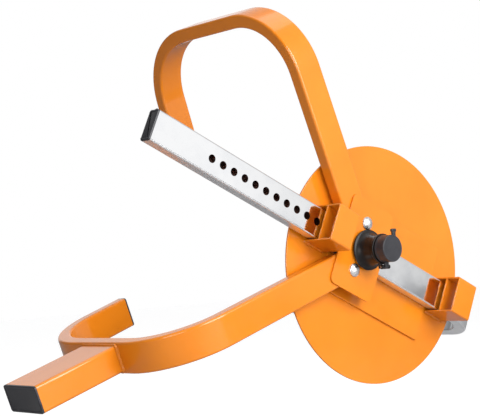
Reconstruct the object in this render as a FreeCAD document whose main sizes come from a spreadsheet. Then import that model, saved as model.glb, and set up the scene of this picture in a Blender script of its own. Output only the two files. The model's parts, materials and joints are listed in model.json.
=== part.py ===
import FreeCAD, Part
import math
import os
import Sketcher

# A wheel clamp: two bent claws welded to a hub disc, and a chromed third claw
# that slides through two guards and is pinned by a push lock.
# Every piece is modelled in the clamp frame: X runs along the sliding tube towards
# its free end, Y towards the lower claw, and Z out of the front of the disc.
# clampSet then stands the clamp up as it hangs on a wheel.

Vector = FreeCAD.Vector
doc = FreeCAD.newDocument("wheel_clamp")
sheet = doc.addObject("Spreadsheet::Sheet", "Dims")

DIMENSIONS = [
    ("tubeRise", 26), ("clawSpread", 44), ("clearGap", 0.5),
    ("discRadius", 175), ("discThick", 3), ("discShift", 36.5),
    ("baseThick", 4), ("baseLength", 212), ("baseWidth", 150), ("baseFar", 152),
    ("cutOver", 1), ("innerEase", 0.5),
    ("armWide", 45), ("armThick", 20), ("armWall", 2), ("armCorner", 3.5), ("armRoot", 10),
    ("armReach", 272), ("armBendOne", 93), ("armTurnOne", 89.4), ("armAcross", 122),
    ("armBendTwo", 104), ("armTurnTwo", 85.4), ("armHook", 66.5),
    ("corridorGap", 3), ("corridorBack", 60), ("corridorLong", 260),
    ("slideWide", 44), ("slideThick", 19), ("slideWall", 2), ("slideCorner", 2.5),
    ("slideFree", 411), ("slideReach", 616), ("slideBend", 52), ("slideAcross", 212),
    ("slideHook", 70), ("holeRadius", 5.75), ("holePitch", 20), ("holeCount", 16),
    ("plateThick", 3), ("plateLength", 84.5), ("plateWidth", 138), ("plateNear", 62.5), ("plateCorner", 9),
    ("guardLength", 40), ("guardOuter", 55.5), ("guardWall", 2.5), ("guardTall", 55), ("guardCorner", 3),
    ("guardAside", 1.75), ("nearGuardStart", 66), ("farGuardStart", 197.5), ("shelfHeight", 28),
    ("stubWide", 38), ("stubDeep", 80), ("stubWall", 2.5), ("stubCorner", 4), ("stubEnd", 516.5),
    ("stubHeight", 131.5), ("copeCorner", 1),
    ("capThick", 3), ("plugDeep", 14), ("plugGap", 0.2), ("plugCorner", 2), ("capEase", 1),
    ("boltAcross", 36.5), ("boltAlong", 24.5), ("boltRadius", 5), ("boltHole", 5.5), ("boltEnd", 3),
    ("domeRadius", 9.7), ("domeEdge", 1.5), ("domeTall", 4), ("nutRadius", 9.2), ("nutTall", 8),
    ("washerRadius", 11), ("washerThick", 2),
    ("lockAlong", 12.3), ("pinRadius", 5), ("pinHole", 5.3), ("pinTravel", 12), ("pinTip", 24.5),
    ("housingFoot", 24), ("footThick", 3), ("housingRadius", 17), ("housingTop", 66), ("housingBore", 13),
    ("plungerRadius", 12.95), ("plungerBottom", 44), ("plungerTop", 70),
    ("spigotRadius", 4), ("spigotDeep", 4),
    ("coreRadius", 8.4), ("coreBore", 8.45), ("coreDeep", 20), ("coreProud", 0.5),
    ("keyWide", 2.4), ("keyTall", 9), ("keyDeep", 14),
    ("stopRadius", 2), ("stopHeight", 55), ("stopFit", 0.05), ("stopShort", 0.5),
    ("slotDeep", 3), ("slotGap", 0.1), ("slotBelow", 3),
    ("springRadius", 8.5), ("springWire", 0.9), ("springTurns", 5), ("springGap", 0.1),
    ("bootFoot", 26), ("bootFootTall", 4), ("bootFlare", 29.3), ("bootLip", 1), ("bootFlareTall", 11),
    ("bootWaist", 22), ("bootNeck", 20.4), ("bootTop", 61), ("bootBore", 17.2), ("bootGap", 0.4),
    ("bootRing", 22), ("bootRingTall", 3), ("cheekRoot", 3), ("cheekDrop", 6), ("cheekGap", 0.5),
    ("dustRadius", 20), ("dustBore", 18.4), ("dustBottom", 62.5), ("dustTop", 79.5), ("dustFace", 3),
    ("hingeOut", 25.5), ("hingeHeight", 62), ("hingeRadius", 1.5), ("hingePlay", 0.06),
    ("hingeHalf", 8), ("knuckleRadius", 3.2), ("knuckleHalf", 3.5), ("knuckleGap", 0.3),
    ("tongueRoot", 1), ("tongueThick", 4),
    ("tabWide", 9.5), ("tabThick", 4.5), ("tabOut", 8), ("tabRoot", 3.4), ("tabSide", 1.2), ("tabDrop", 0.5),
]
for rowNumber, (alias, number) in enumerate(DIMENSIONS, start=1):
    sheet.set("A%d" % rowNumber, alias)
    sheet.set("B%d" % rowNumber, str(number))
    sheet.setAlias("B%d" % rowNumber, alias)
doc.recompute()
dim = dict(DIMENSIONS)


def cell(formula):
    """Turn a formula of bare aliases into one that names the sheet."""
    words = []
    for word in formula.split():
        words.append("Dims." + word if word in dim else word)
    return " ".join(words)


# --- placements ---------------------------------------------------------------

rise = math.radians(dim["tubeRise"])
clampTurn = FreeCAD.Rotation(Vector(-math.cos(rise), 0, math.sin(rise)),
                             Vector(-math.sin(rise), 0, -math.cos(rise)),
                             Vector(0, -1, 0), "XYZ")
clampSet = FreeCAD.Placement(Vector(0, 0, 0), clampTurn)


def aboutAxis(degrees):
    return FreeCAD.Placement(Vector(0, 0, 0), FreeCAD.Rotation(Vector(0, 0, 1), degrees))


def shift(along, across, up):
    return FreeCAD.Placement(Vector(along, across, up), FreeCAD.Rotation())


finished = []


def finish(shape, label, where=None):
    """Name a finished sub-part and stand it up with the rest of the clamp."""
    shape.Label = label
    shape.Placement = clampSet.multiply(where) if where else clampSet
    finished.append(shape)
    return shape


# --- primitives bound to the sheet --------------------------------------------

def bind(thing, **formulas):
    for name, formula in formulas.items():
        thing.setExpression(name.replace("_", "."), cell(formula))


def block(name, along, across, up, length, width, height):
    piece = doc.addObject("Part::Box", name)
    bind(piece, Length=length, Width=width, Height=height, Placement_Base_x=along,
         Placement_Base_y=across, Placement_Base_z=up)
    return piece


def rod(name, radius, height, along="0", across="0", up="0"):
    piece = doc.addObject("Part::Cylinder", name)
    bind(piece, Radius=radius, Height=height, Placement_Base_x=along,
         Placement_Base_y=across, Placement_Base_z=up)
    return piece


def taper(name, low, high, height, along, up):
    piece = doc.addObject("Part::Cone", name)
    bind(piece, Radius1=low, Radius2=high, Height=height, Placement_Base_x=along, Placement_Base_z=up)
    return piece


def join(name, pieces):
    whole = doc.addObject("Part::MultiFuse", name)
    whole.Shapes = pieces
    whole.Refine = True
    return whole


def cut(name, base, tools):
    tool = tools[0] if len(tools) == 1 else join(name + "_tools", tools)
    result = doc.addObject("Part::Cut", name)
    result.Base = base
    result.Tool = tool
    return result


# --- sketches -------------------------------------------------------------------

def originPlane(body, role):
    for feature in body.Origin.OriginFeatures:
        if feature.Role == role:
            return feature
    raise ValueError(role)


def newSketch(body, name, role, offset=None):
    sketch = body.newObject("Sketcher::SketchObject", name)
    sketch.AttachmentSupport = [(originPlane(body, role), "")]
    sketch.MapMode = "FlatFace"
    if offset:
        sketch.AttachmentOffset = offset
    return sketch


def limit(sketch, name, formula, constraint):
    """Add a size to a sketch and bind it to the sheet."""
    index = sketch.addConstraint(constraint)
    sketch.renameConstraint(index, name)
    sketch.setExpression("Constraints." + name, cell(formula))


def roundedRectangle(sketch, tag, width, height, radius, formulas):
    """Draw a rectangle with round corners, centred on the sketch's origin."""
    halfWide = width / 2
    halfTall = height / 2
    up = Vector(0, 0, 1)
    sides = [(-halfWide + radius, -halfTall, halfWide - radius, -halfTall),
             (halfWide, -halfTall + radius, halfWide, halfTall - radius),
             (halfWide - radius, halfTall, -halfWide + radius, halfTall),
             (-halfWide, halfTall - radius, -halfWide, -halfTall + radius)]
    corners = [(1, -1, 270), (1, 1, 0), (-1, 1, 90), (-1, -1, 180)]
    lines = []
    arcs = []
    for startX, startY, endX, endY in sides:
        lines.append(sketch.addGeometry(Part.LineSegment(Vector(startX, startY, 0), Vector(endX, endY, 0))))
    for signX, signY, start in corners:
        centre = Vector(signX * (halfWide - radius), signY * (halfTall - radius), 0)
        first = math.radians(start)
        circle = Part.Circle(centre, up, radius)
        arcs.append(sketch.addGeometry(Part.ArcOfCircle(circle, first, first + math.pi / 2)))
    for number in range(4):
        following = lines[(number + 1) % 4]
        sketch.addConstraint(Sketcher.Constraint("Tangent", lines[number], 2, arcs[number], 1))
        sketch.addConstraint(Sketcher.Constraint("Tangent", arcs[number], 2, following, 1))
    sketch.addConstraint(Sketcher.Constraint("Horizontal", lines[0]))
    for number in range(1, 4):
        sketch.addConstraint(Sketcher.Constraint("Equal", arcs[0], arcs[number]))
    sketch.addConstraint(Sketcher.Constraint("Symmetric", arcs[0], 3, arcs[2], 3, -1, 1))
    wide, tall, corner = formulas
    limit(sketch, tag + "Radius", corner, Sketcher.Constraint("Radius", arcs[0], radius))
    limit(sketch, tag + "Wide", wide,
          Sketcher.Constraint("DistanceX", lines[3], 2, lines[1], 1, width))
    limit(sketch, tag + "Tall", tall,
          Sketcher.Constraint("DistanceY", lines[0], 2, lines[2], 1, height))


def roundPad(label, width, length, radius, formulas):
    """A flat plate with round corners, its middle on the body's axis."""
    body = doc.addObject("PartDesign::Body", label)
    sketch = newSketch(body, label + "_outline", "XY_Plane")
    roundedRectangle(sketch, "edge", width, length, radius, formulas[:3])
    pad = body.newObject("PartDesign::Pad", label + "_pad")
    pad.Profile = sketch
    pad.setExpression("Length", cell(formulas[3]))
    return body


def bentPath(body, name, centreHeight, start, reach, bends, across, hook, formulas):
    """A centreline of three straights joined by two bends, in the body's XZ plane."""
    sketch = newSketch(body, name, "XZ_Plane")
    (radiusOne, turnOne), (radiusTwo, turnTwo) = bends
    up = Vector(0, 0, 1)
    right = math.pi / 2
    turnOne = math.radians(turnOne)
    turnTwo = math.radians(turnTwo)
    first = Vector(start, centreHeight, 0)
    bendOne = Vector(start + reach, centreHeight, 0)
    centreOne = bendOne - Vector(0, radiusOne, 0)
    angleOne = right - turnOne
    leaveOne = centreOne + Vector(math.cos(angleOne), math.sin(angleOne), 0) * radiusOne
    headingOne = Vector(math.sin(angleOne), -math.cos(angleOne), 0)
    bendTwo = leaveOne + headingOne * across
    centreTwo = bendTwo - Vector(math.cos(angleOne), math.sin(angleOne), 0) * radiusTwo
    angleTwo = angleOne - turnTwo
    leaveTwo = centreTwo + Vector(math.cos(angleTwo), math.sin(angleTwo), 0) * radiusTwo
    headingTwo = Vector(math.sin(angleTwo), -math.cos(angleTwo), 0)
    last = leaveTwo + headingTwo * hook
    sketch.addGeometry(Part.LineSegment(first, bendOne))
    sketch.addGeometry(Part.ArcOfCircle(Part.Circle(centreOne, up, radiusOne), angleOne, right))
    sketch.addGeometry(Part.LineSegment(leaveOne, bendTwo))
    sketch.addGeometry(Part.ArcOfCircle(Part.Circle(centreTwo, up, radiusTwo), angleTwo, angleOne))
    sketch.addGeometry(Part.LineSegment(leaveTwo, last))
    sketch.addConstraint(Sketcher.Constraint("Horizontal", 0))
    for before, end, after, begin in ((0, 2, 1, 2), (1, 1, 2, 1), (2, 2, 3, 2), (3, 1, 4, 1)):
        sketch.addConstraint(Sketcher.Constraint("Tangent", before, end, after, begin))
    if start < 0:
        limit(sketch, "start", formulas["start"], Sketcher.Constraint("DistanceX", 0, 1, -1, 1, -start))
    else:
        limit(sketch, "start", formulas["start"], Sketcher.Constraint("DistanceX", -1, 1, 0, 1, start))
    limit(sketch, "height", formulas["height"],
          Sketcher.Constraint("DistanceY", -1, 1, 0, 1, centreHeight))
    limit(sketch, "reach", formulas["reach"], Sketcher.Constraint("Distance", 0, reach))
    limit(sketch, "radiusOne", formulas["radiusOne"], Sketcher.Constraint("Radius", 1, radiusOne))
    limit(sketch, "turnOne", formulas["turnOne"], Sketcher.Constraint("Angle", 1, turnOne))
    limit(sketch, "across", formulas["across"], Sketcher.Constraint("Distance", 2, across))
    limit(sketch, "radiusTwo", formulas["radiusTwo"], Sketcher.Constraint("Radius", 3, radiusTwo))
    limit(sketch, "turnTwo", formulas["turnTwo"], Sketcher.Constraint("Angle", 3, turnTwo))
    limit(sketch, "hook", formulas["hook"], Sketcher.Constraint("Distance", 4, hook))
    return sketch, last, headingTwo


def bentTube(name, start, centreHeight, section, path):
    """Sweep a hollow rounded rectangle along a bent path, and say where the tube ends."""
    body = doc.addObject("PartDesign::Body", name)
    spine, last, heading = bentPath(body, name + "_path", centreHeight, start, **path)
    profile = newSketch(body, name + "_section", "YZ_Plane",
                        FreeCAD.Placement(Vector(0, centreHeight, start), FreeCAD.Rotation()))
    wide, tall, wall, corner = section
    roundedRectangle(profile, "outer", dim[wide], dim[tall], dim[corner], (wide, tall, corner))
    roundedRectangle(profile, "inner", dim[wide] - 2 * dim[wall], dim[tall] - 2 * dim[wall],
                     dim[corner] - dim[wall] + dim["innerEase"],
                     (wide + " - 2 * " + wall, tall + " - 2 * " + wall, corner + " - " + wall + " + innerEase"))
    doc.recompute()
    pipe = body.newObject("PartDesign::AdditivePipe", name + "_sweep")
    pipe.Profile = profile
    pipe.Spine = (spine, ["Edge1", "Edge2", "Edge3", "Edge4", "Edge5"])
    doc.recompute()
    end = Vector(last.x, 0, last.y)
    tangent = Vector(heading.x, 0, heading.y)
    return body, end, tangent


def endCap(label, wide, tall, wall, corner, at, outward):
    """A push-in plastic cap: a plate over the tube's end and a plug inside it."""
    body = doc.addObject("PartDesign::Body", label)
    face = newSketch(body, label + "_face", "XY_Plane")
    roundedRectangle(face, "face", dim[wide], dim[tall], dim[corner], (wide, tall, corner))
    plate = body.newObject("PartDesign::Pad", label + "_plate")
    plate.Profile = face
    plate.setExpression("Length", cell("capThick"))
    doc.recompute()
    ease = body.newObject("PartDesign::Fillet", label + "_ease")
    rim = []
    for number, edge in enumerate(plate.Shape.Edges, start=1):
        if all(abs(vertex.Z - dim["capThick"]) < 0.001 for vertex in edge.Vertexes):
            rim.append("Edge%d" % number)
    ease.Base = (plate, rim)
    ease.setExpression("Radius", cell("capEase"))
    inside = newSketch(body, label + "_inside", "XY_Plane")
    less = " - 2 * " + wall + " - 2 * plugGap"
    trim = 2 * dim[wall] + 2 * dim["plugGap"]
    roundedRectangle(inside, "plug", dim[wide] - trim, dim[tall] - trim, dim["plugCorner"],
                     (wide + less, tall + less, "plugCorner"))
    plug = body.newObject("PartDesign::Pad", label + "_plug")
    plug.Profile = inside
    plug.Reversed = True
    plug.setExpression("Length", cell("plugDeep"))
    doc.recompute()
    sideways = Vector(0, 1, 0)
    turn = FreeCAD.Rotation(sideways, outward.cross(sideways), outward, "ZXY")
    return body, FreeCAD.Placement(at, turn)


# --- disc, base plate and lock plate ---------------------------------------------

def makeDisc():
    disc = rod("disc_blank", "discRadius", "discThick", "0 - discShift", "0", "0 - discThick")
    holes = boltRods("disc_hole", "boltHole", "0 - discThick - cutOver", "discThick + 2 * cutOver")
    finish(cut("disc_cut", disc, holes), "hub_disc")


def boltRods(name, radius, up, height):
    rods = []
    for side, sign in (("upper", "0 - "), ("lower", "")):
        rods.append(rod(name + "_" + side, radius, height, "boltAlong", sign + "boltAcross", up))
    return rods


def makeBasePlate():
    blank = block("base_blank", "0 - baseFar", "0 - baseWidth / 2", "0", "baseLength", "baseWidth", "baseThick")
    holes = boltRods("base_hole", "boltHole", "0 - cutOver", "baseThick + 2 * cutOver")
    finish(cut("base_cut", blank, holes), "base_plate")


def makeLockPlate():
    middle = dim["plateNear"] - dim["plateLength"] / 2
    top = dim["baseThick"] + dim["armThick"]
    plate = roundPad("lock_plate_body", dim["plateLength"], dim["plateWidth"], dim["plateCorner"],
                     ("plateLength", "plateWidth", "plateCorner", "plateThick"))
    plate.Placement = shift(middle, 0, top)
    level = "baseThick + armThick - cutOver"
    holes = boltRods("plate_hole", "boltHole", level, "plateThick + 2 * cutOver")
    holes.append(rod("plate_pin_hole", "pinHole", "plateThick + 2 * cutOver", "lockAlong", "0", level))
    finish(cut("plate_cut", plate, holes), "lock_plate")


# --- guards: a bent strap over the sliding tube with a partition inside ---------------

def makeGuard(side, start):
    name = side + "_guard"
    outer = doc.addObject("PartDesign::Body", name + "_body")
    sketch = newSketch(outer, name + "_hoop", "YZ_Plane")
    half = dim["guardOuter"] / 2
    tall = dim["guardTall"]
    curve = dim["guardCorner"]
    wall = dim["guardWall"]
    inner = curve - wall
    up = Vector(0, 0, 1)
    marks = [Vector(-half, 0, 0), Vector(-half, tall - curve, 0), Vector(-half + curve, tall, 0),
             Vector(half - curve, tall, 0), Vector(half, tall - curve, 0), Vector(half, 0, 0),
             Vector(half - wall, 0, 0), Vector(half - wall, tall - curve, 0),
             Vector(half - curve, tall - wall, 0), Vector(-half + curve, tall - wall, 0),
             Vector(-half + wall, tall - curve, 0), Vector(-half + wall, 0, 0)]
    leftCentre = Vector(-half + curve, tall - curve, 0)
    rightCentre = Vector(half - curve, tall - curve, 0)
    quarter = math.pi / 2
    pieces = [Part.LineSegment(marks[0], marks[1]),
              Part.ArcOfCircle(Part.Circle(leftCentre, up, curve), quarter, 2 * quarter),
              Part.LineSegment(marks[2], marks[3]),
              Part.ArcOfCircle(Part.Circle(rightCentre, up, curve), 0, quarter),
              Part.LineSegment(marks[4], marks[5]),
              Part.LineSegment(marks[5], marks[6]),
              Part.LineSegment(marks[6], marks[7]),
              Part.ArcOfCircle(Part.Circle(rightCentre, up, inner), 0, quarter),
              Part.LineSegment(marks[8], marks[9]),
              Part.ArcOfCircle(Part.Circle(leftCentre, up, inner), quarter, 2 * quarter),
              Part.LineSegment(marks[10], marks[11]),
              Part.LineSegment(marks[11], marks[0])]
    for piece in pieces:
        sketch.addGeometry(piece)
    for before, end, after, begin in ((0, 2, 1, 2), (1, 1, 2, 1), (2, 2, 3, 2), (3, 1, 4, 1),
                                      (6, 2, 7, 1), (7, 2, 8, 1), (8, 2, 9, 1), (9, 2, 10, 1)):
        sketch.addConstraint(Sketcher.Constraint("Tangent", before, end, after, begin))
    for before, end, after, begin in ((4, 2, 5, 1), (5, 2, 6, 1), (10, 2, 11, 1), (11, 2, 0, 1)):
        sketch.addConstraint(Sketcher.Constraint("Coincident", before, end, after, begin))
    for flat in (2, 5, 11):
        sketch.addConstraint(Sketcher.Constraint("Horizontal", flat))
    for upright in (0, 4, 6, 10):
        sketch.addConstraint(Sketcher.Constraint("Vertical", upright))
    sketch.addConstraint(Sketcher.Constraint("Symmetric", 0, 1, 4, 2, -1, 1))
    sketch.addConstraint(Sketcher.Constraint("Coincident", 1, 3, 9, 3))
    sketch.addConstraint(Sketcher.Constraint("Coincident", 3, 3, 7, 3))
    limit(sketch, "bend", "guardCorner", Sketcher.Constraint("Radius", 1, curve))
    limit(sketch, "bendAgain", "guardCorner", Sketcher.Constraint("Radius", 3, curve))
    limit(sketch, "wide", "guardOuter", Sketcher.Constraint("DistanceX", 0, 1, 4, 2, 2 * half))
    limit(sketch, "tall", "guardTall", Sketcher.Constraint("DistanceY", 0, 1, 1, 1, tall))
    limit(sketch, "wall", "guardWall", Sketcher.Constraint("DistanceX", 0, 1, 10, 2, wall))
    pad = outer.newObject("PartDesign::Pad", name + "_pad")
    pad.Profile = sketch
    pad.setExpression("Length", cell("guardLength"))
    doc.recompute()
    finish(outer, name, shift(start, -dim["guardAside"], 0))
    partition = doc.addObject("Part::Box", name + "_shelf")
    bind(partition, Length="guardLength", Width="guardOuter - 2 * guardWall", Height="guardWall")
    finish(partition, side + "_partition", shift(start, wall - half - dim["guardAside"], dim["shelfHeight"]))


# --- claws ------------------------------------------------------------------------

ARM_PATH = dict(reach=dim["armReach"],
                bends=((dim["armBendOne"], dim["armTurnOne"]), (dim["armBendTwo"], dim["armTurnTwo"])),
                across=dim["armAcross"], hook=dim["armHook"],
                formulas={"start": "armRoot", "height": "baseThick + armThick / 2", "reach": "armReach",
                          "radiusOne": "armBendOne", "turnOne": "armTurnOne * 1 deg", "across": "armAcross",
                          "radiusTwo": "armBendTwo", "turnTwo": "armTurnTwo * 1 deg", "hook": "armHook"})


def makeArm(side, sign):
    """A bent claw, mitred to the slide's corridor and drilled for its clamp bolt."""
    height = dim["baseThick"] + dim["armThick"] / 2
    tube, end, tangent = bentTube(side + "_arm_tube", dim["armRoot"], height,
                                  ("armWide", "armThick", "armWall", "armCorner"), ARM_PATH)
    turn = aboutAxis(sign * dim["clawSpread"])
    tube.Placement = turn
    nearSide = "0 - slideWide / 2 - corridorGap - corridorBack * %d" % (sign > 0)
    corridor = block(side + "_corridor", "0 - corridorBack", nearSide, "0", "corridorLong",
                     "slideWide + 2 * corridorGap + corridorBack", "armThick * 2")
    bolt = boltRods(side + "_arm_hole", "boltHole", "0", "armThick * 2")
    blocked = [corridor] + bolt
    finish(cut(side + "_arm_cut", tube, blocked), side + "_claw")
    cap, where = endCap(side + "_claw_cap", "armWide", "armThick", "armWall", "armCorner", end, tangent)
    finish(cap, side + "_claw_cap", turn.multiply(where))


def makeStub():
    """A straight leg, coped onto the outside of the lower claw, with its cap."""
    name = "stub"
    start = dim["armRoot"] + dim["armReach"] + dim["armBendOne"]
    body = doc.addObject("PartDesign::Body", name + "_tube")
    section = newSketch(body, name + "_section", "YZ_Plane")
    roundedRectangle(section, "outer", dim["stubWide"], dim["stubDeep"], dim["stubCorner"],
                     ("stubWide", "stubDeep", "stubCorner"))
    roundedRectangle(section, "inner", dim["stubWide"] - 2 * dim["stubWall"],
                     dim["stubDeep"] - 2 * dim["stubWall"],
                     dim["stubCorner"] - dim["stubWall"] + dim["innerEase"],
                     ("stubWide - 2 * stubWall", "stubDeep - 2 * stubWall",
                      "stubCorner - stubWall + innerEase"))
    pad = body.newObject("PartDesign::Pad", name + "_pad")
    pad.Profile = section
    pad.setExpression("Length", cell("stubEnd - armRoot - armReach - armBendOne"))
    doc.recompute()
    turn = aboutAxis(dim["clawSpread"])
    body.Placement = turn.multiply(shift(start, 0, -dim["stubHeight"]))
    coping = stubCope()
    coping.Placement = turn
    finish(cut("stub_cut", body, [coping]), "stub_leg")
    at = Vector(dim["stubEnd"], 0, -dim["stubHeight"])
    cap, where = endCap("stub_cap", "stubWide", "stubDeep", "stubWall", "stubCorner", at, Vector(1, 0, 0))
    finish(cap, "stub_cap", turn.multiply(where))


def stubCope():
    """The filled outline of the lower claw, wider than the claw, that the stub is cut back to."""
    body = doc.addObject("PartDesign::Body", "stub_cope")
    height = dim["baseThick"] + dim["armThick"] / 2
    spine = bentPath(body, "stub_cope_path", height, dim["armRoot"], **ARM_PATH)[0]
    profile = newSketch(body, "stub_cope_section", "YZ_Plane",
                        FreeCAD.Placement(Vector(0, height, dim["armRoot"]), FreeCAD.Rotation()))
    roundedRectangle(profile, "cope", dim["armWide"] * 2, dim["armThick"], dim["copeCorner"],
                     ("armWide * 2", "armThick", "copeCorner"))
    doc.recompute()
    pipe = body.newObject("PartDesign::AdditivePipe", "stub_cope_sweep")
    pipe.Profile = profile
    pipe.Spine = (spine, ["Edge1", "Edge2", "Edge3", "Edge4", "Edge5"])
    doc.recompute()
    return body


def makeSlide():
    """The chromed third claw: a bent tube with a row of pin holes along its front."""
    height = dim["baseThick"] + dim["clearGap"] + dim["slideThick"] / 2
    path = dict(reach=dim["slideReach"], bends=((dim["slideBend"], 90), (dim["slideBend"], 90)),
                across=dim["slideAcross"], hook=dim["slideHook"],
                formulas={"start": "slideFree", "height": "baseThick + clearGap + slideThick / 2",
                          "reach": "slideReach", "radiusOne": "slideBend", "turnOne": "90 deg",
                          "across": "slideAcross", "radiusTwo": "slideBend", "turnTwo": "90 deg",
                          "hook": "slideHook"})
    tube, end, tangent = bentTube("slide_tube", -dim["slideFree"], height,
                                  ("slideWide", "slideThick", "slideWall", "slideCorner"), path)
    turn = aboutAxis(180)
    tube.Placement = turn
    holes = []
    for number in range(dim["holeCount"]):
        holes.append(rod("slide_hole_%02d" % number, "holeRadius", "slideThick / 2 + 2 * cutOver",
                         "lockAlong + %d * holePitch" % number, "0", "baseThick + slideThick / 2"))
    finish(cut("slide_cut", tube, holes), "sliding_claw")
    cap, where = endCap("slide_claw_cap", "slideWide", "slideThick", "slideWall", "slideCorner", end, tangent)
    finish(cap, "slide_claw_cap", turn.multiply(where))
    free = Vector(-dim["slideFree"], 0, height)
    cap, where = endCap("slide_free_cap", "slideWide", "slideThick", "slideWall", "slideCorner",
                        free, Vector(-1, 0, 0))
    finish(cap, "slide_free_cap", turn.multiply(where))


# --- clamp bolts --------------------------------------------------------------------

def makeBolts():
    """Two dome-head bolts that clamp lock plate, claws, base plate and disc together."""
    top = "baseThick + armThick + plateThick"
    shanks = boltRods("bolt_shank", "boltRadius", "0 - discThick - washerThick - nutTall - boltEnd",
                      "discThick + washerThick + nutTall + boltEnd + " + top)
    heads = []
    for side, sign in (("upper", "0 - "), ("lower", "")):
        ball = doc.addObject("Part::Sphere", "bolt_ball_" + side)
        bind(ball, Radius="( domeRadius ^ 2 + domeTall ^ 2 ) / ( 2 * domeTall )",
             Placement_Base_x="boltAlong", Placement_Base_y=sign + "boltAcross",
             Placement_Base_z=top + " + domeEdge + domeTall"
                              " - ( domeRadius ^ 2 + domeTall ^ 2 ) / ( 2 * domeTall )")
        trim = rod("bolt_trim_" + side, "domeRadius", "domeEdge + domeTall + cutOver", "boltAlong",
                   sign + "boltAcross", top)
        head = doc.addObject("Part::Common", "bolt_head_" + side)
        head.Base = ball
        head.Tool = trim
        heads.append(head)
    finish(join("bolts_joined", shanks + heads), "clamp_bolts")
    nuts = []
    for side, sign in (("upper", "0 - "), ("lower", "")):
        prism = doc.addObject("Part::Prism", "nut_blank_" + side)
        prism.Polygon = 6
        bind(prism, Circumradius="nutRadius", Height="nutTall", Placement_Base_x="boltAlong",
             Placement_Base_y=sign + "boltAcross", Placement_Base_z="0 - discThick - washerThick - nutTall")
        nuts.append(prism)
    nutHoles = boltRods("nut_hole", "boltRadius", "0 - discThick - washerThick - nutTall - cutOver",
                        "nutTall + 2 * cutOver")
    finish(cut("nuts_cut", join("nuts_joined", nuts), nutHoles), "clamp_nuts")
    discs = boltRods("washer_blank", "washerRadius", "0 - discThick - washerThick", "washerThick")
    washerHoles = boltRods("washer_hole", "boltHole", "0 - discThick - washerThick - cutOver",
                           "washerThick + 2 * cutOver")
    finish(cut("washers_cut", join("washers_joined", discs), washerHoles), "clamp_washers")


# --- lock ---------------------------------------------------------------------------

PLATE_TOP = "baseThick + armThick + plateThick"


def makeHousing():
    foot = rod("housing_foot", "housingFoot", "footThick", "lockAlong", "0", PLATE_TOP)
    barrel = rod("housing_barrel", "housingRadius", "housingTop - " + PLATE_TOP.replace("+", "-"),
                 "lockAlong", "0", PLATE_TOP)
    bore = rod("housing_bore", "housingBore", "housingTop", "lockAlong", "0", PLATE_TOP + " + footThick")
    throat = rod("housing_throat", "pinHole", "footThick + 2 * cutOver", "lockAlong", "0",
                 PLATE_TOP + " - cutOver")
    stop = sideRod("housing_stop_hole", "stopRadius", "housingRadius + cutOver")
    finish(cut("housing_cut", join("housing_whole", [foot, barrel]), [bore, throat, stop]), "lock_housing")


def sideRod(name, radius, length):
    """A rod that points out sideways from the lock's axis, on the upper side."""
    piece = doc.addObject("Part::Cylinder", name)
    bind(piece, Radius=radius, Height=length, Placement_Base_x="lockAlong", Placement_Base_z="stopHeight")
    piece.Placement.Rotation = FreeCAD.Rotation(Vector(1, 0, 0), 90)
    return piece


def makeStopScrew():
    """A grub screw in the housing wall whose tip rides in the plunger's slot."""
    screw = doc.addObject("Part::Cylinder", "stop_screw_shank")
    bind(screw, Radius="stopRadius - stopFit", Height="housingRadius - plungerRadius + slotDeep - stopShort")
    tip = Vector(dim["lockAlong"], dim["slotDeep"] - dim["plungerRadius"] - dim["stopShort"], dim["stopHeight"])
    sideways = FreeCAD.Rotation(Vector(1, 0, 0), 90)
    finish(screw, "stop_screw", FreeCAD.Placement(tip, sideways))


def makePlunger():
    barrel = rod("plunger_barrel", "plungerRadius", "plungerTop - plungerBottom", "lockAlong", "0",
                 "plungerBottom")
    bore = rod("plunger_bore", "coreBore", "coreDeep + cutOver", "lockAlong", "0", "plungerTop - coreDeep")
    slot = block("plunger_slot", "lockAlong - stopRadius - slotGap", "0 - plungerRadius - cutOver",
                 "stopHeight - slotBelow", "2 * stopRadius + 2 * slotGap", "slotDeep + cutOver",
                 "pinTravel + 2 * slotBelow")
    socket = rod("plunger_socket", "spigotRadius", "spigotDeep", "lockAlong", "0", "plungerBottom")
    finish(cut("plunger_cut", barrel, [bore, slot, socket]), "lock_plunger")


def makePin():
    shank = rod("pin_shank", "pinRadius", "plungerBottom - pinTip", "lockAlong", "0", "pinTip")
    spigot = rod("pin_spigot", "spigotRadius", "spigotDeep", "lockAlong", "0", "plungerBottom")
    finish(join("pin_joined", [shank, spigot]), "locking_pin")


def makeCore():
    plug = rod("core_plug", "coreRadius", "coreDeep", "lockAlong", "0", "plungerTop - coreDeep + coreProud")
    keyway = block("core_keyway", "lockAlong - keyWide / 2", "0 - keyTall / 2",
                   "plungerTop + coreProud - keyDeep", "keyWide", "keyTall", "keyDeep + cutOver")
    finish(cut("core_cut", plug, [keyway]), "key_core")


def makeSpring():
    low = PLATE_TOP + " + footThick + springWire"
    helix = doc.addObject("Part::Helix", "spring_helix")
    room = "plungerBottom - baseThick - armThick - plateThick - footThick - 2 * springWire - 2 * springGap"
    bind(helix, Radius="springRadius", Height=room, Pitch="( " + room + " ) / springTurns",
         Placement_Base_x="lockAlong", Placement_Base_z=low + " + springGap")
    wire = doc.addObject("Part::Circle", "spring_wire")
    bind(wire, Radius="springWire", Placement_Base_x="lockAlong + springRadius",
         Placement_Base_z=low + " + springGap")
    wire.Placement.Rotation = FreeCAD.Rotation(Vector(1, 0, 0), 90)
    doc.recompute()
    coil = doc.addObject("Part::Sweep", "spring_coil")
    coil.Sections = [wire]
    coil.Spine = (helix, ["Edge1"])
    coil.Solid = True
    coil.Frenet = True
    finish(coil, "return_spring")


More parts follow.
